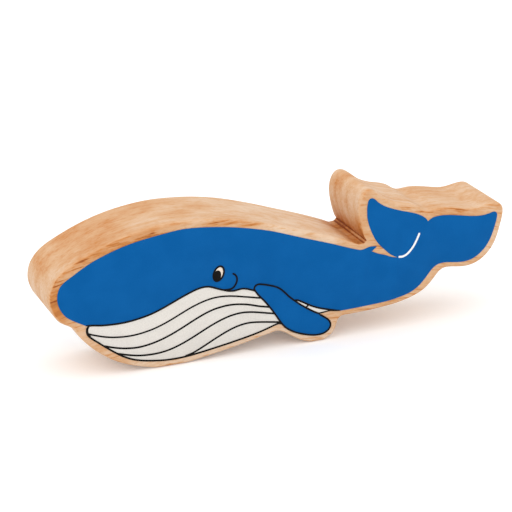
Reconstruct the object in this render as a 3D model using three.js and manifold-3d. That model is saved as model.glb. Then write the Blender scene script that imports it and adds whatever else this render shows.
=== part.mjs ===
// Painted wooden whale: one plank sawn to shape, with paint and print on both broad faces.
// Millimetres. The nose points to -X, the plank's thickness runs along Y, and Z is up.
import * as THREE from 'three';
import { mergeVertices } from 'three/addons/utils/BufferGeometryUtils.js';
import Module from 'manifold-3d';

const wasm = await Module();
wasm.setup();

// Driving sizes
const gridSquare = 10; // one square of the sawing pattern
const plankThickness = 25;
const edgeRadius = 1.2; // every sawn edge is sanded round
const kerfWidth = 1.2; // the floor that the blade left at the root of the tail notch
const sandedSkim = 0.02; // how close to the ground the sanded flats reach before they meet the curve
const coatThickness = 0.15; // blue and white paint on the wood
const printThickness = 0.1; // black and white lines on the paint
const seamGap = 0.3; // between two coats, under the black line that hides it
const contourWidth = 0.6; // black line round the mouth, throat and flipper
const jawLineWidth = 0.8; // it is heavier at the tip of the jaw
const pleatWidth = 0.6; // black line between two throat pleats
const topPleatWidth = 0.54; // the highest of them is drawn thinner
const smileWidth = 0.62;
const sliverLineWidth = 0.6; // black lines over the throat behind the flipper
const sliverFootWidth = 0.42; // thin black line under it, along the paint's border
const creaseWidth = 0.72; // white line on the fluke
const eyeLength = 5.85;
const eyeWidth = 4.15;
const eyeRingWidth = 0.62;
const pupilLength = 4.25;
const pupilWidth = 2.9;
const eyeTilt = THREE.MathUtils.degToRad(-20);
const pupilTilt = THREE.MathUtils.degToRad(-14);

// How finely curves are cut
const edgeSteps = 3; // facets across a sanded edge
const spanSteps = 2; // facets between two points of the pattern
const capSteps = 4; // facets round the end of a line
const ellipseSteps = 24;
const cutterReach = 1; // how far a cutter stands out of the sheet that it cuts
const weldReach = 1e-4; // corners of a slab closer than this are one

const wood = new THREE.MeshStandardMaterial({ color: 0xdca878, roughness: 0.62, metalness: 0 });
const bluePaint = new THREE.MeshStandardMaterial({ color: 0x0e5fa4, roughness: 0.42, metalness: 0 });
const whitePaint = new THREE.MeshStandardMaterial({ color: 0xe9e2db, roughness: 0.48, metalness: 0 });
const blackInk = new THREE.MeshStandardMaterial({ color: 0x17120f, roughness: 0.45, metalness: 0 });

// The pattern: points on its squares, x from the middle of the length and z from the ground.
// The saw starts at the floor of the tail notch and runs over the back to the nose.
const backAndNose = [
  [2.885, 3.325], [2.69, 3.31], [2.56, 3.365], [2.4, 3.445], [2.05, 3.594], [1.44, 3.82], [0.44, 4.165],
  [-0.565, 4.503], [-1.56, 4.782], [-2.4, 4.936], [-3.2, 5.015], [-4, 5.03], [-4.8, 4.953], [-5.595, 4.797],
  [-6.388, 4.546], [-7.188, 4.19], [-7.672, 3.916], [-7.962, 3.65], [-8.138, 3.355], [-8.21, 3],
  [-8.18, 2.715], [-8.065, 2.412], [-7.865, 2.137], [-7.652, 1.998], [-7.45, 1.868],
];
// It cuts the throat and the flipper, whose lowest places are then sanded flat to stand on.
const throatAndFlipper = [
  [-7.342, 1.695], [-7.188, 1.485], [-6.94, 1.196], [-6.6, 0.88], [-6.144, 0.55], [-5.595, 0.277],
  [-4.998, 0.09], [-4.55, 0], [-4.1, -0.02], [-3.6, 0], [-3.2, 0.05], [-2.6, 0.145], [-1.803, 0.29],
  [-1.004, 0.46], [-0.502, 0.572], [-0.29, 0.61], [-0.13, 0.56], [0.05, 0.465], [0.3, 0.295], [0.55, 0.148],
  [0.8, 0.048], [1, 0], [1.22, -0.01], [1.44, 0], [1.608, 0.09], [1.753, 0.198], [1.863, 0.35],
  [1.928, 0.53], [2.002, 0.7], [2.16, 0.783], [2.35, 0.788],
];
// It ends with the tail, the two flukes and the way back into the notch.
const tailAndFlukes = [
  [3, 0.803], [3.597, 0.85], [4.198, 0.92], [4.8, 1.073], [5.246, 1.286], [5.583, 1.612], [5.782, 1.842],
  [5.943, 1.936], [6.15, 1.955], [6.45, 1.918], [6.75, 1.888], [7.05, 1.915], [7.35, 2.02], [7.65, 2.24],
  [7.87, 2.52], [8.02, 2.85], [8.13, 3.25], [8.21, 3.65], [8.192, 3.89], [8.075, 4.038], [7.88, 4.125],
  [7.55, 4.11], [7.2, 4.05], [6.9, 4.048], [6.4, 4.136], [6, 4.205], [5.65, 4.226], [5.4, 4.205],
  [5.22, 4.21], [5.05, 4.28], [4.85, 4.41], [4.6, 4.51], [4.2, 4.6], [3.95, 4.682], [3.7, 4.805],
  [3.4, 5.033], [3.2, 5.165], [3.02, 5.215], [2.858, 5.157], [2.738, 5.01], [2.66, 4.797], [2.638, 4.5],
  [2.675, 4.2], [2.742, 3.92], [2.825, 3.69], [2.9, 3.52],
];

// The painted area. It starts where the mouth meets the jaw, and has a sharp corner between two runs.
const throatEdge = [
  [-6.96, 1.893], [-7.005, 1.84], [-7.022, 1.75], [-7.003, 1.615], [-6.925, 1.495], [-6.595, 1.215],
  [-6.2, 0.9], [-5.8, 0.62], [-5.4, 0.43], [-4.95, 0.317], [-4.4, 0.242], [-3.95, 0.225], [-3.4, 0.26],
  [-2.6, 0.375], [-1.8, 0.51], [-1, 0.675], [-0.29, 0.885],
];
const flipperEdge = [
  [-0.29, 0.885], [-0.175, 0.86], [-0.041, 0.715], [0.109, 0.598], [0.357, 0.455], [0.654, 0.342],
  [0.951, 0.262], [1.2, 0.235], [1.397, 0.258], [1.572, 0.345], [1.67, 0.48], [1.681, 0.6], [1.612, 0.75],
  [1.485, 0.865], [1.36, 0.955], [1.3, 0.993], [1.245, 1.03],
];
const underTail = [
  [1.245, 1.03], [1.45, 1.045], [1.63, 1.06], [1.81, 1.03], [1.95, 1.014], [2.4, 1.018], [3.1, 1.047],
  [3.8, 1.089], [4.297, 1.176], [4.698, 1.295], [4.994, 1.482], [5.25, 1.75], [5.457, 1.998],
  [5.612, 2.12], [5.8, 2.179], [6.1, 2.172], [6.45, 2.121], [6.75, 2.111], [7.02, 2.161], [7.255, 2.283],
  [7.508, 2.502], [7.68, 2.76], [7.796, 3.032], [7.883, 3.318], [7.942, 3.6], [7.925, 3.73], [7.83, 3.79],
  [7.7, 3.765], [7.45, 3.72], [7.15, 3.722], [6.7, 3.789], [6.25, 3.876], [5.8, 3.931], [5.453, 3.9],
  [5.262, 3.787],
];
const nearFluke = [
  [5.262, 3.787], [5.17, 3.912], [5.002, 4.034], [4.703, 4.166], [4.25, 4.306], [3.8, 4.47],
  [3.548, 4.596], [3.346, 4.746], [3.21, 4.872], [3.1, 4.905], [3.008, 4.852], [2.962, 4.68],
  [2.952, 4.448], [2.973, 4.192], [3.04, 3.942], [3.158, 3.65], [3.308, 3.373], [3.467, 3.168],
  [3.672, 2.965], [3.87, 2.785], [4.16, 2.62],
];
const stockTop = [
  [4.16, 2.62], [3.9, 2.694], [3.65, 2.8], [3.4, 2.885], [3.155, 3],
];
const finHook = [
  [3.155, 3], [3.25, 3.075], [3.345, 3.15],
];
const backEdge = [
  [3.345, 3.15], [3.2, 3.178], [3.037, 3.17], [2.917, 3.133], [2.75, 3.11], [2.556, 3.163], [2.25, 3.27],
  [1.793, 3.442], [1.43, 3.57], [0.428, 3.915], [-0.571, 4.265], [-1.565, 4.513], [-2.4, 4.66],
  [-3.2, 4.745], [-3.7, 4.757], [-4.3, 4.692], [-5, 4.592], [-5.6, 4.469], [-6.2, 4.284], [-6.8, 4.041],
  [-7.397, 3.696], [-7.742, 3.469], [-7.867, 3.304], [-7.93, 3.05], [-7.915, 2.8], [-7.82, 2.55],
  [-7.66, 2.325], [-7.407, 2.143], [-7.157, 1.999], [-6.96, 1.893],
];

// Middle lines of what is printed. Where two coats meet, their seam runs under such a line.
const mouth = [
  [-7.03, 1.907], [-6.8, 1.902], [-6.5, 1.852], [-6.1, 1.826], [-5.7, 1.827], [-5.2, 1.889],
  [-4.8, 1.976], [-4.405, 2.112], [-4.012, 2.28], [-3.6, 2.453], [-3.2, 2.597], [-2.95, 2.64],
  [-2.75, 2.625], [-2.493, 2.526], [-2.243, 2.427], [-2.045, 2.366], [-1.85, 2.347], [-1.6, 2.375],
  [-1.4, 2.338], [-1.12, 2.225],
];
const jawTip = [
  [-6.945, 1.862], [-6.968, 1.82], [-6.982, 1.75], [-6.963, 1.63], [-6.895, 1.53],
];
const flipperFront = [
  [-1.12, 2.225], [-1.008, 2.064], [-0.795, 1.823], [-0.59, 1.557], [-0.398, 1.277], [-0.2, 0.965],
  [-0.1, 0.83], [-0.015, 0.735],
];
const flipperBack = [
  [-1.12, 2.225], [-1.152, 2.31], [-1.113, 2.393], [-1.036, 2.438], [-0.9, 2.428], [-0.6, 2.343],
  [-0.293, 2.215], [-0.097, 2.053], [0.103, 1.838], [0.31, 1.655], [0.507, 1.493], [0.8, 1.284],
  [1.107, 1.092], [1.25, 1.03], [1.33, 1],
];
const behindFlipper = [
  [0.31, 1.655], [0.4, 1.657], [0.5, 1.613], [0.7, 1.5], [0.894, 1.386], [1.2, 1.248], [1.505, 1.15],
  [1.81, 1.06], [2, 1.004],
];
const sliverBar = [
  [0.82, 1.41], [0.74, 1.34],
];
const topPleat = [
  [-6.97, 1.642], [-6.8, 1.572], [-6.4, 1.438], [-6, 1.358], [-5.5, 1.328], [-5, 1.381], [-4.6, 1.478],
  [-4.2, 1.626], [-3.8, 1.807], [-3.4, 1.987], [-3, 2.125], [-2.7, 2.191], [-2.4, 2.213], [-2, 2.178],
  [-1.5, 2.073], [-0.92, 1.94],
];
const otherPleats = [
  [[-6.4, 1.11], [-6.15, 1.025], [-5.8, 0.932], [-5.35, 0.878], [-5, 0.898], [-4.6, 0.978], [-4.2, 1.108],
    [-3.8, 1.28], [-3.4, 1.475], [-3, 1.659], [-2.6, 1.795], [-2.1, 1.863], [-1.7, 1.838], [-1.3, 1.755],
    [-1, 1.66], [-0.62, 1.57]],
  [[-5.95, 0.765], [-5.7, 0.69], [-5.3, 0.592], [-4.85, 0.549], [-4.4, 0.571], [-4, 0.659], [-3.6, 0.806],
    [-3.2, 0.99], [-2.8, 1.186], [-2.4, 1.354], [-2, 1.474], [-1.6, 1.518], [-1.2, 1.476], [-0.8, 1.387],
    [-0.42, 1.297]],
  [[-3.6, 0.29], [-3.35, 0.358], [-3, 0.515], [-2.6, 0.717], [-2.2, 0.902], [-1.9, 1.016], [-1.6, 1.088],
    [-1.35, 1.112], [-1, 1.083], [-0.6, 1.02], [-0.22, 0.955]],
];
const smile = [
  [-1.9, 2.955], [-1.825, 2.9], [-1.773, 2.8], [-1.768, 2.7], [-1.8, 2.6], [-1.86, 2.505], [-1.935, 2.445],
  [-2.04, 2.42], [-2.22, 2.425],
];
const crease = [
  [4.202, 2.652], [4.34, 2.648], [4.481, 2.706], [4.599, 2.807], [4.719, 2.952], [4.81, 3.109],
  [4.896, 3.287], [4.934, 3.386],
];
const eyeCentre = [-2.415, 3.033];
const pupilCentre = [-2.478, 2.945];

// A smooth curve through points of the pattern, as points in millimetres.
function curveThrough(knots) {
  const places = knots.map(([x, z]) => new THREE.Vector3(x * gridSquare, z * gridSquare, 0));
  const curve = new THREE.CatmullRomCurve3(places, false, 'centripetal');
  return curve.getPoints((knots.length - 1) * spanSteps).map((p) => new THREE.Vector2(p.x, p.y));
}

// Curves that follow each other, as one line of points without the shared ones.
function joined(...runs) {
  return runs.flatMap((run, i) => (i === 0 ? run : run.slice(1)));
}

// The unit vector to the left of a line of points at point i.
function leftOf(line, i) {
  const before = line[Math.max(i - 1, 0)];
  const after = line[Math.min(i + 1, line.length - 1)];
  const along = after.clone().sub(before).normalize();
  return new THREE.Vector2(-along.y, along.x);
}

// The two lowest places are sanded flat: what comes within the skim of the ground goes down to it.
function sandedFlat(outline) {
  const flattened = outline.map((p) => new THREE.Vector2(p.x, p.y < sandedSkim ? 0 : p.y));
  const onCurve = (i) => flattened.at(i % flattened.length).y > 0;
  return flattened.filter((_, i) => onCurve(i) || onCurve(i - 1) || onCurve(i + 1));
}

// The outline of a drawn line with round ends.
function stroke(line, width) {
  const side = (sign) => line.map((p, i) => p.clone().addScaledVector(leftOf(line, i), (sign * width) / 2));
  const cap = (i, turn) => {
    const out = leftOf(line, i).multiplyScalar((turn * width) / 2);
    return Array.from({ length: capSteps - 1 }, (_, k) => {
      const angle = (-Math.PI * (k + 1)) / capSteps;
      return line[i].clone().add(out.clone().rotateAround(new THREE.Vector2(), angle));
    });
  };
  const last = line.length - 1;
  return [...side(1), ...cap(last, 1), ...side(-1).reverse(), ...cap(0, -1)].reverse();
}

function ellipse([x, z], length, width, tilt) {
  return Array.from({ length: ellipseSteps }, (_, k) => {
    const angle = (2 * Math.PI * k) / ellipseSteps;
    const p = new THREE.Vector2((width / 2) * Math.cos(angle), (length / 2) * Math.sin(angle));
    return p.rotateAround(new THREE.Vector2(), tilt).add(new THREE.Vector2(x, z).multiplyScalar(gridSquare));
  });
}

// An outline as a solid between two heights.
function slab(outline, bottom, top) {
  const geometry = new THREE.ExtrudeGeometry(new THREE.Shape(outline), {
    depth: top - bottom,
    bevelEnabled: false,
  });
  geometry.translate(0, 0, bottom);
  geometry.deleteAttribute('normal');
  geometry.deleteAttribute('uv');
  const merged = mergeVertices(geometry, weldReach);
  return new wasm.Manifold(new wasm.Mesh({
    numProp: 3,
    vertProperties: merged.attributes.position.array,
    triVerts: new Uint32Array(merged.index.array),
  }));
}

const coat = (outline) => slab(outline, 0, coatThickness);
const print = (outline) => slab(outline, 0, printThickness);
const cutter = (outline) => slab(outline, -cutterReach, coatThickness + cutterReach);
const together = (solids) => solids.reduce((all, one) => all.add(one));

function geometryOf(solid) {
  const { vertProperties, triVerts } = solid.getMesh();
  const geometry = new THREE.BufferGeometry();
  geometry.setAttribute('position', new THREE.BufferAttribute(vertProperties, 3));
  geometry.setIndex(new THREE.BufferAttribute(triVerts, 1));
  return geometry;
}

// The wood: the pattern sawn through the plank, with its edges sanded round.
function sawnBody() {
  const notchFloor = new THREE.Vector2(...backAndNose[0]);
  const acrossKerf = new THREE.Vector2(1, 1).setLength(kerfWidth / gridSquare);
  const notchCorner = notchFloor.clone().add(acrossKerf);
  const knots = [...backAndNose, ...throatAndFlipper, ...tailAndFlukes, notchCorner.toArray()];
  const geometry = new THREE.ExtrudeGeometry(new THREE.Shape(sandedFlat(curveThrough(knots))), {
    depth: plankThickness - 2 * edgeRadius,
    bevelThickness: edgeRadius,
    bevelSize: edgeRadius,
    bevelOffset: -edgeRadius,
    bevelSegments: edgeSteps,
  });
  geometry.translate(0, 0, edgeRadius - plankThickness / 2);
  return new THREE.Mesh(geometry, wood);
}

// The painted faces: where the coats meet, and the black lines over their seams.
const throatLine = curveThrough(throatEdge);
const flipperLine = curveThrough(flipperEdge);
const mouthLine = curveThrough(mouth);
const frontLine = curveThrough(flipperFront);
const backLine = curveThrough(flipperBack);
const sliverLine = curveThrough(behindFlipper);
const tailLine = curveThrough(underTail);
const painted = joined(
  throatLine,
  flipperLine,
  tailLine,
  ...[nearFluke, stockTop, finHook, backEdge].map(curveThrough),
).slice(0, -1);

// The areas that part the coats. They run on outside the painted area, down past the ground.
const belowGround = (x) => new THREE.Vector2(x, -gridSquare);
const throatArea = [
  belowGround(mouthLine[0].x),
  ...mouthLine,
  ...frontLine.slice(1),
  belowGround(frontLine.at(-1).x),
].reverse();
const pastFlipper = underTail[3][0] * gridSquare;
const flipperArea = [
  ...frontLine,
  belowGround(frontLine.at(-1).x),
  belowGround(pastFlipper),
  new THREE.Vector2(pastFlipper, backLine.at(-1).y),
  ...backLine.slice(1).reverse(),
];
const sliverArea = [
  ...sliverLine,
  belowGround(sliverLine.at(-1).x),
  belowGround(sliverLine[0].x),
].reverse();

const seamLines = [mouthLine, frontLine, backLine, sliverLine];
const seams = together(seamLines.map((line) => cutter(stroke(line, seamGap))));
const underRing = (gap) => ellipse(
  eyeCentre,
  eyeLength - eyeRingWidth + gap,
  eyeWidth - eyeRingWidth + gap,
  eyeTilt,
);

function coats() {
  const sheet = coat(painted).subtract(seams);
  const throat = cutter(throatArea);
  const flipper = cutter(flipperArea);
  const behind = cutter(sliverArea).subtract(flipper);
  return {
    body_coat: [
      sheet.subtract(throat).subtract(flipper).subtract(behind).subtract(cutter(underRing(seamGap))),
      bluePaint,
    ],
    flipper_coat: [sheet.intersect(flipper), bluePaint],
    throat_coat: [sheet.intersect(throat), whitePaint],
    rear_throat_coat: [sheet.intersect(behind), whitePaint],
    eye_white: [coat(underRing(-seamGap)), whitePaint],
  };
}

function prints() {
  // A line on the border is drawn twice as wide there and trimmed to the paint. It stops a span short of
  // a sharp corner, so that its round end stays inside the lines that meet there.
  const round = joined(throatLine, flipperLine).slice(spanSteps, -spanSteps);
  const underSliver = tailLine.filter((p) => p.x < sliverLine.at(-1).x);
  const lines = [
    [round, 2 * contourWidth],
    [underSliver, 2 * sliverFootWidth],
    [curveThrough(jawTip), jawLineWidth],
    [mouthLine, contourWidth],
    [frontLine, contourWidth],
    [backLine, contourWidth],
    [curveThrough(topPleat), topPleatWidth],
    ...otherPleats.map((knots) => [curveThrough(knots), pleatWidth]),
    [curveThrough(smile), smileWidth],
    [sliverLine, sliverLineWidth],
    [curveThrough(sliverBar), sliverLineWidth],
  ];
  const eye = ellipse(eyeCentre, eyeLength, eyeWidth, eyeTilt);
  const white = ellipse(eyeCentre, eyeLength - 2 * eyeRingWidth, eyeWidth - 2 * eyeRingWidth, eyeTilt);
  const pupil = ellipse(pupilCentre, pupilLength, pupilWidth, pupilTilt);
  const drawn = together(lines.map(([line, width]) => print(stroke(line, width))));
  return {
    line_print: [drawn.intersect(cutter(painted)), blackInk],
    eye_print: [print(eye).subtract(cutter(white)).add(print(pupil).intersect(cutter(eye))), blackInk],
    tail_crease: [print(stroke(curveThrough(crease), creaseWidth)), whitePaint],
  };
}

// One painted face. The coats lie on the wood and the prints on the coats.
function paintedFace(side, outward) {
  const face = new THREE.Group();
  const lay = (layer, thickness, start) => {
    for (const [name, [solid, material]] of Object.entries(layer)) {
      const piece = new THREE.Mesh(geometryOf(solid), material);
      piece.name = `${name}_${side}`;
      piece.position.z = outward > 0 ? start : -start - thickness;
      face.add(piece);
    }
  };
  lay(coats(), coatThickness, plankThickness / 2);
  lay(prints(), printThickness, plankThickness / 2 + coatThickness);
  return face;
}

// The figure is drawn lying on its pattern and then stood up, over the middle of its length.
const whale = new THREE.Group();
const body = sawnBody();
body.name = 'wood_body';
whale.add(body, paintedFace('left', 1), paintedFace('right', -1));
body.geometry.computeBoundingBox();
whale.position.x = -body.geometry.boundingBox.getCenter(new THREE.Vector3()).x;
whale.rotation.x = Math.PI / 2;

export default whale;
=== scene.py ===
# Painted wooden whale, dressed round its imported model. Metres, nose to -X, painted faces to -Y and +Y, Z up.
import math

import bmesh
import bpy
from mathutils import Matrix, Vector


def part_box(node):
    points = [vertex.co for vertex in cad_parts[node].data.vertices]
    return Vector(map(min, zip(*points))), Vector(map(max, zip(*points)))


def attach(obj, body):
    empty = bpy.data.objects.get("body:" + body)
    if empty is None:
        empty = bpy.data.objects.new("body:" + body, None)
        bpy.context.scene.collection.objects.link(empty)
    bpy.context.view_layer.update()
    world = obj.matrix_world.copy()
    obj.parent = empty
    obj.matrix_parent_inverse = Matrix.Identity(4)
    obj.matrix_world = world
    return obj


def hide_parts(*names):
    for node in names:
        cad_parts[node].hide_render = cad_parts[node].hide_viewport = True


mm = 0.001
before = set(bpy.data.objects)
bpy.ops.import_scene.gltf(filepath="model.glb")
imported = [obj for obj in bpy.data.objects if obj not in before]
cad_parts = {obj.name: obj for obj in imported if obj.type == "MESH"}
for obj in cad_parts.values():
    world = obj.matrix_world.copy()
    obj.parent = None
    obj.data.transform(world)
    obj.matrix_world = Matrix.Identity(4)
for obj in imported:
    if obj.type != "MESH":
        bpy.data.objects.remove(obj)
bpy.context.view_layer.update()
print("frame loaded:", len(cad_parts), "nodes")

photoPixels = 512  # both sides of the photograph
camera = {
    "azimuth": -22.55,  # degrees round from looking along +Y
    "elevation": 21.04,
    "focalPixels": 1965.2,  # focal length on the photograph's grid
    "distance": 654.7 * mm,  # to the plane through the point below
    "seenPoint": (-5.6 * mm, -12.5 * mm, 21.45 * mm),  # on the near painted face
    "seenPixel": (270.5, 290.5),  # where the photograph shows it
}
studio = {
    "floorRadius": 4.0,
    "floorSides": 96,
    "floorColour": (0.957, 0.957, 0.957),
    "floorRoughness": 0.9,
    "floorGloss": 0.1,
    "floorGap": 0.02 * mm,  # keeps the floor out of the plane of the flats that stand on it
    "floorLift": 0.12,  # added to what the camera sees of the floor, which keeps its shadow pale
    "skyStrength": 0.78,
    "lampStrength": 1.5,  # a sun of 3.14 lights a square-on white surface to full white
    "lampTurn": (24, -16),  # degrees that the lamp leans to the viewer and to the nose
    "lampSpread": 110,  # degrees across the lamp, which softens its shadow
}


def makeCamera():
    azimuth = math.radians(camera["azimuth"])
    elevation = math.radians(camera["elevation"])
    right = Vector((math.cos(azimuth), math.sin(azimuth), 0))
    back = Vector((
        math.sin(azimuth) * math.cos(elevation),
        -math.cos(azimuth) * math.cos(elevation),
        math.sin(elevation),
    ))
    up = back.cross(right)
    perPixel = camera["distance"] / camera["focalPixels"]
    across = (camera["seenPixel"][0] - photoPixels / 2) * perPixel
    down = (camera["seenPixel"][1] - photoPixels / 2) * perPixel
    data = bpy.data.cameras.new("photoCamera")
    data.sensor_width = 36
    data.lens = data.sensor_width * camera["focalPixels"] / photoPixels
    data.clip_start = 0.01
    made = bpy.data.objects.new("photoCamera", data)
    made.location = Vector(camera["seenPoint"]) - right * across + up * down + back * camera["distance"]
    made.rotation_euler = (math.pi / 2 - elevation, 0, azimuth)
    bpy.context.collection.objects.link(made)
    bpy.context.scene.camera = made


makeCamera()
print("camera placed")


# Node helpers

def addNode(tree, kind, inputs=None, **settings):
    made = tree.nodes.new(kind)
    for name, value in settings.items():
        setattr(made, name, value)
    for name, value in (inputs or {}).items():
        if isinstance(value, bpy.types.NodeSocket):
            tree.links.new(value, made.inputs[name])
        else:
            made.inputs[name].default_value = value
    return made


def maths(tree, operation, *values):
    return addNode(tree, "ShaderNodeMath", dict(enumerate(values)), operation=operation).outputs[0]


def clamped(tree, value):
    return maths(tree, "MINIMUM", maths(tree, "MAXIMUM", value, 0.0), 1.0)


def vectorMaths(tree, operation, *values):
    outputs = addNode(tree, "ShaderNodeVectorMath", dict(enumerate(values)), operation=operation).outputs
    return outputs["Value" if operation in ("LENGTH", "DISTANCE") else "Vector"]


def scaled(tree, vector, factor):
    return addNode(tree, "ShaderNodeVectorMath", {0: vector, "Scale": factor}, operation="SCALE").outputs[0]


def smoothStep(tree, value, low, high, least=0.0, most=1.0):
    return addNode(tree, "ShaderNodeMapRange", {
        "Value": value,
        "From Min": low,
        "From Max": high,
        "To Min": least,
        "To Max": most,
    }, interpolation_type="SMOOTHSTEP").outputs["Result"]


def addSockets(tree, direction, sockets):
    for name, (kind, value) in sockets.items():
        made = tree.interface.new_socket(name=name, in_out=direction, socket_type="NodeSocket" + kind)
        if value is not None:
            made.default_value = value


# The sheet tree: everything on this figure is cut from a flat sheet along closed outlines

sheet = {
    "mergeReach": 0.002 * mm,  # nearer points become one
    "fadeRoom": 0.01 * mm,  # what the sanding fades over on a sheet with no rounded edge
    "sandingDetail": 1.5,
    "sharpAngle": 35,  # degrees: the shading breaks at a sharper edge
}
sheetInputs = {  # kind and default of each
    "Outline": ("Object", None),
    "Lower Face": ("Float", 0.0),
    "Upper Face": ("Float", 1.0 * mm),
    "Edge Radius": ("Float", 0.0),
    "Edge Steps": ("Int", 1),
    "Lid Rim": ("Float", 0.0),
    "Crisp Place": ("Vector", None),
    "Crisp Reach": ("Float", 0.01 * mm),
    "Crisp Share": ("Float", 1.0),
    "Wall Cuts": ("Int", 0),
    "Sanding Depth": ("Float", 0.0),
    "Sanding Size": ("Float", 14 * mm),
    "Ground Keep": ("Float", 1.5 * mm),
    "Material": ("Material", None),
}


def makeSheetTree():
    tree = bpy.data.node_groups.new("cutFromSheet", "GeometryNodeTree")
    addSockets(tree, "INPUT", sheetInputs)
    addSockets(tree, "OUTPUT", {"Geometry": ("Geometry", None)})
    given = addNode(tree, "NodeGroupInput").outputs
    radius, lower, upper = given["Edge Radius"], given["Lower Face"], given["Upper Face"]
    found = addNode(tree, "GeometryNodeObjectInfo", {"Object": given["Outline"]})
    outline = addNode(tree, "GeometryNodeSetCurveNormal", {"Curve": found.outputs["Geometry"]}, mode="Z_UP")
    outline = outline.outputs["Curve"]

    # How much of the rounding each point of the outline gets: less where the sander can't reach
    position = addNode(tree, "GeometryNodeInputPosition").outputs[0]
    away = vectorMaths(tree, "DISTANCE", position, given["Crisp Place"])
    share = smoothStep(tree, away, 0.0, given["Crisp Reach"], given["Crisp Share"])
    kept = addNode(tree, "GeometryNodeCaptureAttribute", domain="POINT")
    for kind, name, value in (("VECTOR", "Place", position), ("FLOAT", "Share", share)):
        kept.capture_items.new(kind, name)
        tree.links.new(value, kept.inputs[name])
    tree.links.new(outline, kept.inputs["Geometry"])
    outline, place, share = (kept.outputs[name] for name in ("Geometry", "Place", "Share"))

    # The wall's section, from the rim of the upper lid round both edges to the rim of the lower lid
    inset = maths(tree, "ADD", radius, given["Lid Rim"])
    inward = maths(tree, "MULTIPLY", inset, -1.0)
    corners = [(inward, upper), (0.0, upper), (0.0, lower), (inward, lower)]
    places = {}
    for number, (across, level) in enumerate(corners, 1):
        flipped = maths(tree, "MULTIPLY", level, -1.0)
        corner = addNode(tree, "ShaderNodeCombineXYZ", {"X": across, "Y": flipped})
        places[f"Point {number}"] = corner.outputs[0]
    section = addNode(tree, "GeometryNodeCurvePrimitiveQuadrilateral", places, mode="POINTS").outputs["Curve"]
    section = addNode(tree, "GeometryNodeSetSplineCyclic", {"Geometry": section, "Cyclic": False}).outputs[0]
    index = addNode(tree, "GeometryNodeInputIndex").outputs[0]
    firstTurn = maths(tree, "COMPARE", index, 1.0, 0.5)
    cuts = maths(tree, "MULTIPLY", firstTurn, given["Wall Cuts"])
    section = addNode(tree, "GeometryNodeSubdivideCurve", {"Curve": section, "Cuts": cuts}).outputs[0]
    lastTurn = maths(tree, "COMPARE", index, maths(tree, "ADD", given["Wall Cuts"], 2.0), 0.5)
    turnRadius = maths(tree, "MULTIPLY", maths(tree, "ADD", firstTurn, lastTurn), radius)
    section = addNode(tree, "GeometryNodeFilletCurve", {
        "Curve": section,
        "Count": given["Edge Steps"],
        "Radius": turnRadius,
        "Limit Radius": True,
    }, mode="POLY").outputs[0]
    walls = addNode(tree, "GeometryNodeCurveToMesh", {"Curve": outline, "Profile Curve": section}).outputs[0]

    # Where the share is less than one, the rounding moves back out to a sharp edge
    moved = vectorMaths(tree, "SUBTRACT", position, place)
    offset = addNode(tree, "ShaderNodeSeparateXYZ", {"Vector": moved}).outputs
    height = addNode(tree, "ShaderNodeSeparateXYZ", {"Vector": position}).outputs["Z"]
    lost = maths(tree, "SUBTRACT", share, 1.0)
    toUpper = maths(tree, "SUBTRACT", upper, height)
    toLower = maths(tree, "SUBTRACT", lower, height)
    edgeReach = maths(tree, "ADD", radius, sheet["mergeReach"])
    nearUpper = maths(tree, "LESS_THAN", toUpper, edgeReach)
    nearLower = maths(tree, "LESS_THAN", maths(tree, "MULTIPLY", toLower, -1.0), edgeReach)
    toUpper = maths(tree, "MULTIPLY", toUpper, nearUpper)
    toLower = maths(tree, "MULTIPLY", toLower, nearLower)
    rise = maths(tree, "ADD", toUpper, toLower)
    back = addNode(tree, "ShaderNodeCombineXYZ", {
        "X": maths(tree, "MULTIPLY", offset["X"], lost),
        "Y": maths(tree, "MULTIPLY", offset["Y"], lost),
        "Z": maths(tree, "MULTIPLY", rise, maths(tree, "MULTIPLY", lost, -1.0)),
    }).outputs[0]
    walls = addNode(tree, "GeometryNodeSetPosition", {"Geometry": walls, "Offset": back}).outputs[0]

    # The lids, filled inside the rim
    normal = addNode(tree, "GeometryNodeInputNormal").outputs["Normal"]
    step = scaled(tree, normal, maths(tree, "MULTIPLY", inward, share))
    rim = addNode(tree, "GeometryNodeSetPosition", {"Geometry": outline, "Offset": step}).outputs[0]
    lid = addNode(tree, "GeometryNodeFillCurve", {"Curve": rim}, mode="TRIANGLES").outputs[0]
    turned = addNode(tree, "GeometryNodeFlipFaces", {"Mesh": lid}).outputs[0]
    joined = addNode(tree, "GeometryNodeJoinGeometry")
    tree.links.new(walls, joined.inputs[0])
    for face, level in ((turned, lower), (lid, upper)):
        lift = addNode(tree, "ShaderNodeCombineXYZ", {"Z": level}).outputs[0]
        lifted = addNode(tree, "GeometryNodeTransform", {"Geometry": face, "Translation": lift}).outputs[0]
        tree.links.new(lifted, joined.inputs[0])
    closed = addNode(tree, "GeometryNodeMergeByDistance", {
        "Geometry": joined.outputs[0],
        "Distance": sheet["mergeReach"],
    }).outputs[0]

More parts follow.
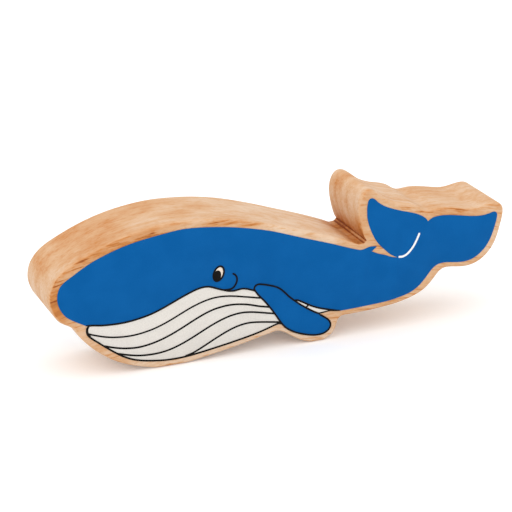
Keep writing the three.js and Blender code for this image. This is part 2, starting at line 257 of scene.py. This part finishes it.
    # Hand sanding: the sawn wall dips in a little, fading out at the lids and near the ground
    waves = addNode(tree, "ShaderNodeTexNoise", {
        "Vector": position,
        "Scale": maths(tree, "DIVIDE", 1.0, given["Sanding Size"]),
        "Detail": sheet["sandingDetail"],
    }).outputs["Fac"]
    spot = addNode(tree, "ShaderNodeSeparateXYZ", {"Vector": position}).outputs
    aboveGround = clamped(tree, maths(tree, "DIVIDE", spot["Y"], given["Ground Keep"]))
    toLid = maths(tree, "SUBTRACT", upper, maths(tree, "ABSOLUTE", spot["Z"]))
    fromLid = clamped(tree, maths(tree, "DIVIDE", toLid, maths(tree, "ADD", inset, sheet["fadeRoom"])))
    depth = maths(tree, "MULTIPLY", maths(tree, "MULTIPLY", waves, given["Sanding Depth"]), -1.0)
    depth = maths(tree, "MULTIPLY", depth, maths(tree, "MULTIPLY", aboveGround, fromLid))
    facing = addNode(tree, "GeometryNodeInputNormal").outputs["Normal"]
    dip = scaled(tree, vectorMaths(tree, "MULTIPLY", facing, (1, 1, 0)), depth)
    sanded = addNode(tree, "GeometryNodeSetPosition", {"Geometry": closed, "Offset": dip}).outputs[0]

    # The sheet lies on its pattern until here, and then stands up
    stood = addNode(tree, "GeometryNodeTransform", {
        "Geometry": sanded,
        "Rotation": (math.pi / 2, 0, 0),
    }).outputs[0]
    coloured = addNode(tree, "GeometryNodeSetMaterial", {"Geometry": stood, "Material": given["Material"]})
    addNode(tree, "NodeGroupOutput", {"Geometry": coloured.outputs[0]})
    return tree


# Outlines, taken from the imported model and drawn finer

outlines = {
    "levelReach": 0.02 * mm,  # how near to the level an edge has to lie
    "wallLean": 0.01,  # how far a wall's normal may lean to Y
    "leastStep": 0.03 * mm,  # nearer points are dropped
    "cornerTurn": 50,  # degrees: a sharper turn stays a corner
}


def outlineLoops(node, level):
    # Closed loops of points where the node's walls meet one level of Y, with the solid on their left
    solid = bmesh.new()
    solid.from_mesh(node.data)
    bmesh.ops.remove_doubles(solid, verts=solid.verts, dist=sheet["mergeReach"])
    bmesh.ops.dissolve_degenerate(solid, dist=sheet["mergeReach"], edges=solid.edges)
    following = {}
    for edge in solid.edges:
        a, b = edge.verts
        if max(abs(a.co.y - level), abs(b.co.y - level)) > outlines["levelReach"]:
            continue
        for face in edge.link_faces:
            if abs(face.normal.y) > outlines["wallLean"]:
                continue
            along = b.co - a.co
            solidSide = Vector((-along.z, 0, along.x)).dot(face.normal) < 0
            start, end = (a, b) if solidSide else (b, a)
            following.setdefault(start.index, []).append((end.index, end.co.copy()))
    loops = []
    while following:
        here, loop = next(iter(following)), []
        while here in following:
            end, place = following[here].pop()
            if not following[here]:
                del following[here]
            loop.append(Vector((place.x, place.z)))
            here = end
        loops.append(loop)
    solid.free()
    return loops


def turnAt(loop, i):
    before, after = loop[i] - loop[i - 1], loop[(i + 1) % len(loop)] - loop[i]
    return math.degrees(abs(before.angle_signed(after)))


def thinned(loop):
    kept = []
    for point in loop:
        if not kept or (point - kept[-1]).length > outlines["leastStep"]:
            kept.append(point)
    if (kept[0] - kept[-1]).length <= outlines["leastStep"]:
        kept.pop()
    return kept


def refined(loop, steps):
    # A smooth curve through the loop's points that keeps its corners
    loop = thinned(loop)
    count = len(loop)
    corner = [turnAt(loop, i) > outlines["cornerTurn"] for i in range(count)]
    finer = []
    for i in range(count):
        a, b, c, d = (loop[(i + k) % count] for k in (-1, 0, 1, 2))
        a = b * 2 - c if corner[i] else a
        d = c * 2 - b if corner[(i + 1) % count] else d
        first, middle, last = (math.sqrt((q - p).length) for p, q in ((a, b), (b, c), (c, d)))
        leave = ((b - a) / first - (c - a) / (first + middle) + (c - b) / middle) * middle
        arrive = ((c - b) / middle - (d - b) / (middle + last) + (d - c) / last) * middle
        for k in range(steps):
            t = k / steps
            finer.append(
                b * (2 * t**3 - 3 * t**2 + 1)
                + leave * (t**3 - 2 * t**2 + t)
                + c * (3 * t**2 - 2 * t**3)
                + arrive * (t**3 - t**2)
            )
    return finer


def outlineObject(name, loops):
    data = bpy.data.curves.new(name, "CURVE")
    data.dimensions = "3D"
    for loop in loops:
        spline = data.splines.new("POLY")
        spline.points.add(len(loop) - 1)
        for point, place in zip(spline.points, loop):
            point.co = (place.x, place.y, 0, 1)
        spline.use_cyclic_u = True
    made = bpy.data.objects.new(name, data)
    bpy.context.collection.objects.link(made)
    return made


def cutPiece(name, loops, values, bevel=None):
    # One closed piece cut by the sheet tree, as a plain mesh
    outline = outlineObject(name + "Outline", loops)
    blank = bpy.data.objects.new(name + "Blank", bpy.data.meshes.new(name + "Blank"))
    bpy.context.collection.objects.link(blank)
    modifier = blank.modifiers.new("cutFromSheet", "NODES")
    modifier.node_group = sheetTree
    sockets = {item.name: item.identifier for item in sheetTree.interface.items_tree}
    for label, value in {"Outline": outline, **values}.items():
        modifier[sockets[label]] = value
    if bevel:
        soft = blank.modifiers.new("softEdge", "BEVEL")
        soft.width = bevel["width"]
        soft.segments = bevel["segments"]
        soft.limit_method = "ANGLE"
        soft.angle_limit = math.radians(bevel["angle"])
        soft.use_clamp_overlap = True
    evaluated = blank.evaluated_get(bpy.context.evaluated_depsgraph_get())
    mesh = bpy.data.meshes.new_from_object(evaluated)
    mesh.name = name
    bpy.data.objects.remove(blank)
    bpy.data.objects.remove(outline)
    check = bmesh.new()
    check.from_mesh(mesh)
    loose = sum(1 for edge in check.edges if not edge.is_contiguous)
    check.free()
    mesh.shade_smooth()
    mesh.set_sharp_from_angle(angle=math.radians(sheet["sharpAngle"]))
    piece = bpy.data.objects.new(name, mesh)
    bpy.context.collection.objects.link(piece)
    print("cut", name, len(mesh.polygons), "faces,", loose, "edges that don't close")
    return piece


sheetTree = makeSheetTree()
print("sheet tree made")


# Shared shader groups, in millimetres

def makeGroup(name, given, made):
    tree = bpy.data.node_groups.new(name, "ShaderNodeTree")
    addSockets(tree, "INPUT", given)
    addSockets(tree, "OUTPUT", made)
    return tree, addNode(tree, "NodeGroupInput").outputs, addNode(tree, "NodeGroupOutput").inputs


def noise(tree, vector, detail, roughness=0.5):
    return addNode(tree, "ShaderNodeTexNoise", {
        "Vector": vector,
        "Scale": 1.0,
        "Detail": detail,
        "Roughness": roughness,
    }).outputs["Fac"]


grainForm = {
    # Each noise has its scale along and across the grain, per mm, and the span of it that counts
    "wander": {"scale": (0.014, 0.045), "detail": 2.0},
    "clear": {"scale": (0.02, 0.1), "detail": 1.0, "span": (0.38, 0.66, 0.25, 1.0)},
    "fibre": {"scale": (0.035, 1.1), "detail": 4.0, "roughness": 0.6, "span": (0.3, 0.7)},
    "pores": {"scale": (0.5, 1.6), "detail": 2.0, "roughness": 0.6, "span": (0.45, 0.72)},
    "strokes": {"scale": (0.13, 1.35), "detail": 2.0, "roughness": 0.55},
    "strokePatches": {"scale": (0.04, 0.16), "detail": 1.0, "span": (0.34, 0.6)},
    "blotches": {"scale": (0.08, 0.15), "detail": 3.0, "span": (0.3, 0.7)},
    "yearScale": 0.16,  # of the noise that makes some rings wider
    "lateWood": (0.2, 0.85),  # the share of a ring over which it darkens
    "freshWood": (0.88, 1.0),  # and over which it turns pale again
    "strokeGate": (0.74, 0.3),  # where in the noise strokes start, and how far a full share lowers that
    "strokeEdge": 0.13,
    "height": (0.4, 0.6),  # how far fibres stand up and strokes lie in
}


def grainNoise(tree, vector, name):
    form = grainForm[name]
    along, across = form["scale"]
    stretched = vectorMaths(tree, "MULTIPLY", vector, (along, across, across))
    value = noise(tree, stretched, form["detail"], form.get("roughness", 0.5))
    return smoothStep(tree, value, *form["span"]) if "span" in form else value


def makeGrainGroup():
    # Growth rings round a pith that lies along X and bows a little, with fibres, pores and short dark strokes
    tree, given, made = makeGroup("woodGrain", {
        "Vector": ("Vector", None),
        "Bow": ("Float", 0.0),
        "Ring Spacing": ("Float", 4.0),
        "Ring Wander": ("Float", 5.0),
        "Stroke Share": ("Float", 0.5),
    }, {
        "Rings": ("Float", None),
        "Fibre": ("Float", None),
        "Pores": ("Float", None),
        "Strokes": ("Float", None),
        "Stroke Patches": ("Float", None),
        "Blotches": ("Float", None),
        "Height": ("Float", None),
    })
    straight = addNode(tree, "ShaderNodeSeparateXYZ", {"Vector": given["Vector"]}).outputs
    squared = maths(tree, "MULTIPLY", straight["X"], straight["X"])
    lift = maths(tree, "MULTIPLY", squared, given["Bow"])
    bowed = addNode(tree, "ShaderNodeCombineXYZ", {"Z": lift}).outputs[0]
    vector = vectorMaths(tree, "ADD", given["Vector"], bowed)

    radius = vectorMaths(tree, "LENGTH", vectorMaths(tree, "MULTIPLY", vector, (0, 1, 1)))
    wander = maths(tree, "SUBTRACT", grainNoise(tree, vector, "wander"), 0.5)
    wander = maths(tree, "MULTIPLY", wander, given["Ring Wander"])
    years = addNode(tree, "ShaderNodeTexNoise", {
        "W": radius,
        "Scale": grainForm["yearScale"],
        "Detail": 1.0,
    }, noise_dimensions="1D").outputs["Fac"]
    uneven = maths(tree, "MULTIPLY", maths(tree, "SUBTRACT", years, 0.5), given["Ring Spacing"])
    grown = maths(tree, "ADD", maths(tree, "ADD", radius, wander), uneven)
    season = maths(tree, "FRACT", maths(tree, "DIVIDE", grown, given["Ring Spacing"]))
    late = smoothStep(tree, season, *grainForm["lateWood"])
    fresh = smoothStep(tree, season, *grainForm["freshWood"])
    rings = maths(tree, "SUBTRACT", late, fresh)
    rings = maths(tree, "MULTIPLY", rings, grainNoise(tree, vector, "clear"))

    fibre = grainNoise(tree, vector, "fibre")
    starts, lowered = grainForm["strokeGate"]
    gate = maths(tree, "SUBTRACT", starts, maths(tree, "MULTIPLY", given["Stroke Share"], lowered))
    strokes = maths(tree, "SUBTRACT", grainNoise(tree, vector, "strokes"), gate)
    strokes = smoothStep(tree, strokes, 0.0, grainForm["strokeEdge"])
    raised, sunk = (maths(tree, "MULTIPLY", *pair) for pair in zip((fibre, strokes), grainForm["height"]))
    for name, value in (
        ("Rings", rings),
        ("Fibre", fibre),
        ("Pores", grainNoise(tree, vector, "pores")),
        ("Strokes", strokes),
        ("Stroke Patches", grainNoise(tree, vector, "strokePatches")),
        ("Blotches", grainNoise(tree, vector, "blotches")),
        ("Height", maths(tree, "SUBTRACT", raised, sunk)),
    ):
        tree.links.new(value, made[name])
    return tree


def makePaintGroup():
    # Soft unevenness of a rolled coat, and its fine tooth
    tree, given, made = makeGroup("rolledPaint", {
        "Vector": ("Vector", None),
        "Cloud Size": ("Float", 9.0),
        "Tooth Size": ("Float", 0.35),
    }, {
        "Clouds": ("Float", None),
        "Tooth": ("Float", None),
    })
    for name, size, low, high, detail in (
        ("Clouds", given["Cloud Size"], 0.3, 0.7, 3.0),
        ("Tooth", given["Tooth Size"], 0.35, 0.65, 1.0),
    ):
        vector = scaled(tree, given["Vector"], maths(tree, "DIVIDE", 1.0, size))
        tree.links.new(smoothStep(tree, noise(tree, vector, detail), low, high), made[name])
    return tree


def makeNearSpotGroup():
    # One at a place, fading to nothing at its reach along X, Y and Z
    tree, given, made = makeGroup("nearSpot", {
        "Vector": ("Vector", None),
        "Place": ("Vector", None),
        "Reach": ("Vector", None),
    }, {"Near": ("Float", None)})
    apart = vectorMaths(tree, "SUBTRACT", given["Vector"], given["Place"])
    away = vectorMaths(tree, "LENGTH", vectorMaths(tree, "DIVIDE", apart, given["Reach"]))
    tree.links.new(smoothStep(tree, away, 0.0, 1.0, 1.0, 0.0), made["Near"])
    return tree


grainGroup = makeGrainGroup()
paintGroup = makePaintGroup()
nearSpotGroup = makeNearSpotGroup()
print("shader groups made")


# Finishes

throughPlank = 1000  # mm: a reach that goes right through the plank
woodLook = {
    "pith": (0, 44, 38),  # mm, behind the far face
    "lean": (0, -1.2, 1.0),  # degrees that the grain leans off the length
    "bow": 0.0014,  # mm that the pith bows, per mm along it squared
    "ringSpacing": 5.0,  # mm
    "ringWander": 8.0,  # mm
    "strokeShare": 0.72,  # how much of the wood has strokes in it
    "tones": (  # from the palest wood to the darkest, which the painted shade in the saw's kerf reaches
        (0.0, (0.72, 0.525, 0.37)),
        (0.3, (0.64, 0.373, 0.198)),
        (0.6, (0.545, 0.211, 0.056)),
        (1.0, (0.25, 0.056, 0.009)),
    ),
    "rings": 0.14,  # the tone that each of these five adds
    "fibre": 0.1,
    "pores": 0.13,
    "blotches": 0.22,
    "face": 0.03,  # everywhere on the broad faces
    "faceFrom": (12.0, 12.46),  # mm off the middle of the plank
    "strokes": (0.08, 0.4),  # the tone that they add on the sawn walls and on the broad faces
    # Each spot from here on is a place and a reach, in mm, and what it adds there
    "strokeSpots": (  # more strokes or fewer
        ((-66, 0, 42), (30, throughPlank, 15), 0.75),
        ((-78, 0, 22), (14, throughPlank, 12), -0.4),
        ((28, 0, 44), (12, throughPlank, 16), -0.6),
        ((62, 0, 18), (30, throughPlank, 14), -0.5),
        ((66, 0, 50), (20, throughPlank, 9), -0.5),
    ),
    "calmSpots": (  # rings and fibres fade, on the sawn walls
        ((-60, 0, 44), (42, throughPlank, 26), 0.55),
        ((0, 0, 46), (34, throughPlank, 14), 0.3),
    ),
    "patches": (  # tone, on the walls and the broad faces
        ((-58, 0, 50), (32, throughPlank, 32), 0.23),
        ((-69, 10, 40), (16, 7, 11), 0.16),
        ((-81, 4, 37), (7, 14, 8), 0.28),
        ((-50, -5, 49), (14, 9, 6), -0.22),
        ((27, 2, 48), (9, 12, 10), 0.12),
        ((30, 6, 50), (6, 7, 5), 0.28),
        ((58, 5, 42), (10, 7, 6), 0.14),
        ((8, 0, 42), (36, throughPlank, 18), -0.1),
    ),
    "facePatches": (  # tone, on the broad faces
        ((-80, 0, 26), (16, throughPlank, 16), 0.4),
        ((-64, 0, 42), (30, throughPlank, 14), 0.13),
        # lighter along the bottom of both faces: painted light, standing in for light from below
        ((-20, 0, 0), (70, throughPlank, 14), -0.38),
        ((5, 0, 46), (42, throughPlank, 14), -0.08),
        ((60, 0, 18), (30, throughPlank, 14), 0.12),
        ((64, 0, 46), (26, throughPlank, 14), 0.12),
        ((29, 0, 41), (8, throughPlank, 8), 0.2),
    ),
    "streakLeft": 0.5,  # the share of a streak that is left between two fibres
    "streaks": (  # thin marks in the bare margin along the back
        ((-26, -12.5, 48.4), (9, 1.5, 0.8), 0.5),
        ((-19, -12.5, 47.3), (9, 1.5, 0.8), 0.55),
        ((-12, -12.5, 45.7), (8, 1.5, 0.8), 0.45),
        ((9, -12.5, 39.3), (9, 1.5, 0.8), 0.4),
    ),
    "notchWallShade": (  # tone, on the sawn walls round the notch: painted shade in the notch, with two spots that lighten it again
        ((27.5, -10, 38.5), (7, 10, 9), 0.32),
        ((28, 11, 39), (6, 10, 8), -0.06),
        ((24.5, 8, 34), (7, 9, 4), 0.24),
        ((29.3, 10, 33.7), (1.6, 14, 1.6), 0.2),
        ((29.3, -9, 33.7), (2.4, 14, 2.4), -0.36),
    ),
    "kerfShade": ((9, 0.3), (3.2, 0.12)),  # reach and tone of painted shade, round the middle of the kerf
    "kerfCornerShade": (0.55, 0.52),  # reach and tone of painted shade, at both corners of the kerf
    "roughness": (0.55, 0.7),  # between fibres and on them
    "gloss": 0.16,
    "bump": (0.3, 0.05 * mm),  # strength and height
}
fibreInPaint = 0.6  # how far the wood's fibres stand in a coat, beside its own tooth
paints = {
    "bluePaint": {
        "tones": ((0.001, 0.092, 0.305), (0.0028, 0.105, 0.338)),
        "clouds": 0.7,  # their share of the blend of the two tones; the tooth has the rest
        "cloudSize": 8.0,  # mm
        "toothSize": 0.45,
        "roughness": (0.44, 0.52),
        "gloss": 0.04,
        "bump": (0.2, 0.03 * mm),
    },
    "whitePaint": {
        "tones": ((0.655, 0.618, 0.568), (0.735, 0.698, 0.643)),
        "clouds": 0.35,
        "cloudSize": 6.0,
        "toothSize": 0.42,
        "roughness": (0.48, 0.56),
        "gloss": 0.15,
        "bump": (0.25, 0.03 * mm),
    },
    "blackInk": {
        "tones": ((0.0035, 0.003, 0.0028), (0.007, 0.0055, 0.0045)),
        "clouds": 0.5,
        "cloudSize": 3.0,
        "toothSize": 0.4,
        "roughness": (0.42, 0.5),
        "gloss": 0.08,
        "bump": (0.15, 0.02 * mm),
    },
}
paints["creamPaint"] = {**paints["whitePaint"], "tones": ((0.76, 0.645, 0.53), (0.84, 0.72, 0.6))}
paints["brightPaint"] = {**paints["whitePaint"], "tones": ((0.86, 0.85, 0.83), (0.93, 0.92, 0.9))}


def makeMaterial(name):
    made = bpy.data.materials.new(name)
    made.use_nodes = True
    tree = made.node_tree
    return made, tree, tree.nodes["Principled BSDF"]


def inMillimetres(tree, place=(0, 0, 0), lean=(0, 0, 0)):
    spot = addNode(tree, "ShaderNodeTexCoord").outputs["Object"]
    return addNode(tree, "ShaderNodeMapping", {
        "Vector": spot,
        "Location": place,
        "Rotation": [math.radians(angle) for angle in lean],
        "Scale": (1 / mm, 1 / mm, 1 / mm),
    }).outputs[0]


def fromPith(tree):
    return inMillimetres(tree, [-value for value in woodLook["pith"]], woodLook["lean"])


def placeGroup(tree, group, inputs):
    return addNode(tree, "ShaderNodeGroup", inputs, node_tree=group).outputs


def finishSurface(tree, shader, look, colour, roughness, height):
    tree.links.new(colour, shader.inputs["Base Color"])
    tree.links.new(roughness, shader.inputs["Roughness"])
    shader.inputs["Specular IOR Level"].default_value = look["gloss"]
    strength, distance = look["bump"]
    bump = addNode(tree, "ShaderNodeBump", {"Strength": strength, "Distance": distance, "Height": height})
    tree.links.new(bump.outputs["Normal"], shader.inputs["Normal"])


def makeWoodFinish(kerfCorners, kerfMiddle):
    made, tree, shader = makeMaterial("sandedWood")
    here = inMillimetres(tree)
    grain = placeGroup(tree, grainGroup, {
        "Vector": fromPith(tree),
        "Bow": woodLook["bow"],
        "Ring Spacing": woodLook["ringSpacing"],
        "Ring Wander": woodLook["ringWander"],
        "Stroke Share": woodLook["strokeShare"],
    })
    across = addNode(tree, "ShaderNodeSeparateXYZ", {"Vector": here}).outputs["Y"]
    onFace = smoothStep(tree, maths(tree, "ABSOLUTE", across), *woodLook["faceFrom"])
    onWall = maths(tree, "SUBTRACT", 1.0, onFace)

    def spotSum(start, spots, mask=1.0):
        total = start
        for place, reach, share in spots:
            spot = placeGroup(tree, nearSpotGroup, {"Vector": here, "Place": place, "Reach": reach})
            part = maths(tree, "MULTIPLY", maths(tree, "MULTIPLY", spot["Near"], mask), share)
            total = maths(tree, "ADD", total, part)
        return total

    cover = clamped(tree, spotSum(grain["Stroke Patches"], woodLook["strokeSpots"]))
    strokes = maths(tree, "MULTIPLY", grain["Strokes"], cover)
    strokes = maths(tree, "MULTIPLY", strokes, smoothStep(tree, onFace, 0.0, 1.0, *woodLook["strokes"]))
    lively = maths(tree, "SUBTRACT", 1.0, spotSum(0.0, woodLook["calmSpots"], onWall))

    # Painted shade in and round the saw's kerf, laid on the sawn walls only
    kerfShading = [(kerfMiddle, reach, tone) for reach, tone in woodLook["kerfShade"]]
    kerfShading += [(corner, *woodLook["kerfCornerShade"]) for corner in kerfCorners]
    kerfShading = [(place, (reach, throughPlank, reach), tone) for place, reach, tone in kerfShading]
    tone = spotSum(strokes, woodLook["patches"])
    tone = spotSum(tone, woodLook["facePatches"], onFace)
    alongFibres = smoothStep(tree, grain["Fibre"], 0.0, 1.0, woodLook["streakLeft"], 1.0)
    tone = spotSum(tone, woodLook["streaks"], alongFibres)
    tone = spotSum(tone, (*woodLook["notchWallShade"], *kerfShading), onWall)
    for value, share in (
        (maths(tree, "MULTIPLY", grain["Rings"], lively), woodLook["rings"]),
        (maths(tree, "MULTIPLY", grain["Fibre"], lively), woodLook["fibre"]),
        (grain["Pores"], woodLook["pores"]),
        (grain["Blotches"], woodLook["blotches"]),
        (onFace, woodLook["face"]),
    ):
        tone = maths(tree, "ADD", tone, maths(tree, "MULTIPLY", value, share))
    ramp = addNode(tree, "ShaderNodeValToRGB", {"Fac": tone})
    stops = ramp.color_ramp.elements
    for number, (where, colour) in enumerate(woodLook["tones"]):
        stop = stops[number] if number < len(stops) else stops.new(where)
        stop.position = where
        stop.color = (*colour, 1)
    smooth, rough = woodLook["roughness"]
    roughness = smoothStep(tree, grain["Fibre"], 0.0, 1.0, smooth, rough)
    finishSurface(tree, shader, woodLook, ramp.outputs["Color"], roughness, grain["Height"])
    return made


def makePaintFinish(name):
    look = paints[name]
    made, tree, shader = makeMaterial(name)
    paint = placeGroup(tree, paintGroup, {
        "Vector": inMillimetres(tree),
        "Cloud Size": look["cloudSize"],
        "Tooth Size": look["toothSize"],
    })
    clouds = maths(tree, "MULTIPLY", paint["Clouds"], look["clouds"])
    blend = maths(tree, "ADD", clouds, maths(tree, "MULTIPLY", paint["Tooth"], 1 - look["clouds"]))
    mixed = addNode(tree, "ShaderNodeMix", data_type="RGBA")
    tree.links.new(blend, mixed.inputs["Factor"])
    for socket, tone in zip(("A_Color", "B_Color"), look["tones"]):
        next(s for s in mixed.inputs if s.identifier == socket).default_value = (*tone, 1)
    colour = next(s for s in mixed.outputs if s.identifier == "Result_Color")
    smooth, rough = look["roughness"]
    roughness = smoothStep(tree, paint["Clouds"], 0.0, 1.0, smooth, rough)
    grain = placeGroup(tree, grainGroup, {
        "Vector": fromPith(tree),
        "Bow": woodLook["bow"],
    })
    height = maths(tree, "ADD", paint["Tooth"], maths(tree, "MULTIPLY", grain["Fibre"], fibreInPaint))
    finishSurface(tree, shader, look, colour, roughness, height)
    return made


def makeFloorFinish():
    made, tree, shader = makeMaterial("paleFloor")
    shader.inputs["Base Color"].default_value = (*studio["floorColour"], 1)
    shader.inputs["Roughness"].default_value = studio["floorRoughness"]
    shader.inputs["Specular IOR Level"].default_value = studio["floorGloss"]
    shader.inputs["Emission Color"].default_value = (1, 1, 1, 1)
    seen = addNode(tree, "ShaderNodeLightPath").outputs["Is Camera Ray"]
    tree.links.new(maths(tree, "MULTIPLY", seen, studio["floorLift"]), shader.inputs["Emission Strength"])
    return made


paintFinishes = {name: makePaintFinish(name) for name in paints}
print("paints mixed")


# The wood

wood = {
    "outlineSteps": 4,  # finer points for each of the model's
    "edgeRadius": 1.2 * mm,
    "edgeSteps": 7,
    "lidRim": 0.3 * mm,
    "wallCuts": 9,
    "sandingDepth": 0.08 * mm,
    "sandingSize": 15 * mm,
    "crispReach": 7.5 * mm,  # the edges sharpen towards the saw's kerf
    "crispShare": 0.12,
}


def makeWood():
    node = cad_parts["wood_body"]
    low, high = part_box("wood_body")
    [rough] = outlineLoops(node, low.y + wood["edgeRadius"])
    sharpest = sorted(range(len(rough)), key=lambda i: -turnAt(rough, i))[:2]
    kerfCorners = [Vector((rough[i].x, 0, rough[i].y)) / mm for i in sharpest]
    print("kerf corners at", kerfCorners)
    kerfMiddle = sum(kerfCorners, Vector((0, 0, 0))) / len(kerfCorners)
    crispPlace = kerfMiddle * mm
    smooth = refined(rough, wood["outlineSteps"])
    for point in smooth:
        point.y = max(point.y, low.z)  # the flats that it stands on stay flat
    piece = cutPiece("wooden_whale", [smooth], {
        "Crisp Place": (crispPlace.x, crispPlace.z, 0),
        "Crisp Reach": wood["crispReach"],
        "Crisp Share": wood["crispShare"],
        "Lower Face": -high.y,
        "Upper Face": -low.y,
        "Edge Radius": wood["edgeRadius"],
        "Edge Steps": wood["edgeSteps"],
        "Lid Rim": wood["lidRim"],
        "Wall Cuts": wood["wallCuts"],
        "Sanding Depth": wood["sandingDepth"],
        "Sanding Size": wood["sandingSize"],
        "Material": makeWoodFinish(kerfCorners, kerfMiddle),
    })
    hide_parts("wood_body")
    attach(piece, "root")


makeWood()
print("wood cut")


# Paint and ink, on both broad faces

films = {
    "outlineSteps": 2,
    "softEdge": {"width": 0.04 * mm, "segments": 2, "angle": 60},
    "pieces": {  # by node of the model: name, paint and slot
        "body_coat": ("blue_body", "bluePaint", "blue_paint"),
        "flipper_coat": ("blue_flipper", "bluePaint", "blue_paint"),
        "throat_coat": ("white_throat", "whitePaint", "white_paint"),
        "rear_throat_coat": ("white_behind_flipper", "whitePaint", "white_paint"),
        "eye_white": ("white_of_eye", "creamPaint", "white_paint"),
        "line_print": ("black_lines", "blackInk", "black_ink"),
        "eye_print": ("black_of_eye", "blackInk", "black_ink"),
        "tail_crease": ("white_crease", "brightPaint", "white_paint"),
    },
}


def makeFilm(cadName, name, paint, side):
    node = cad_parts[f"{cadName}_{side}"]
    low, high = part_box(node.name)
    loops = outlineLoops(node, low.y if side == "left" else high.y)
    loops = [refined(loop, films["outlineSteps"]) for loop in loops]
    piece = cutPiece(f"{name}_{side}", loops, {
        "Lower Face": -high.y,
        "Upper Face": -low.y,
        "Material": paintFinishes[paint],
    }, films["softEdge"])
    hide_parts(node.name)
    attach(piece, "root")


for side in ("left", "right"):
    for cadName, (name, paint, slotName) in films["pieces"].items():
        makeFilm(cadName, name, paint, side)
print("paint and ink laid")


# Floor and light

def makeStudio():
    disc = bmesh.new()
    bmesh.ops.create_circle(disc, cap_ends=True, segments=studio["floorSides"], radius=studio["floorRadius"])
    mesh = bpy.data.meshes.new("paleFloor")
    disc.to_mesh(mesh)
    disc.free()
    floor = bpy.data.objects.new("paleFloor", mesh)
    floor.location.z = -studio["floorGap"]
    bpy.context.collection.objects.link(floor)
    floor.data.materials.append(makeFloorFinish())

    lamp = bpy.data.lights.new("softLamp", "SUN")
    lamp.energy = studio["lampStrength"]
    lamp.angle = math.radians(studio["lampSpread"])
    lampObject = bpy.data.objects.new("softLamp", lamp)
    toViewer, toNose = studio["lampTurn"]
    lampObject.rotation_euler = (math.radians(toViewer), math.radians(toNose), 0)
    bpy.context.collection.objects.link(lampObject)

    world = bpy.data.worlds.new("paleRoom")
    world.use_nodes = True
    tree = world.node_tree
    sky = tree.nodes["Background"]
    sky.inputs["Color"].default_value = (1, 1, 1, 1)
    path = addNode(tree, "ShaderNodeLightPath").outputs
    seen = maths(tree, "MAXIMUM", path["Is Camera Ray"], path["Is Glossy Ray"])
    seen = maths(tree, "MAXIMUM", seen, path["Is Transmission Ray"])
    strength = addNode(tree, "ShaderNodeMix", {"Factor": seen, "A": studio["skyStrength"], "B": 1.0})
    tree.links.new(strength.outputs["Result"], sky.inputs["Strength"])
    bpy.context.scene.world = world
    bpy.context.scene.view_settings.view_transform = "Standard"


makeStudio()
print("studio lit")
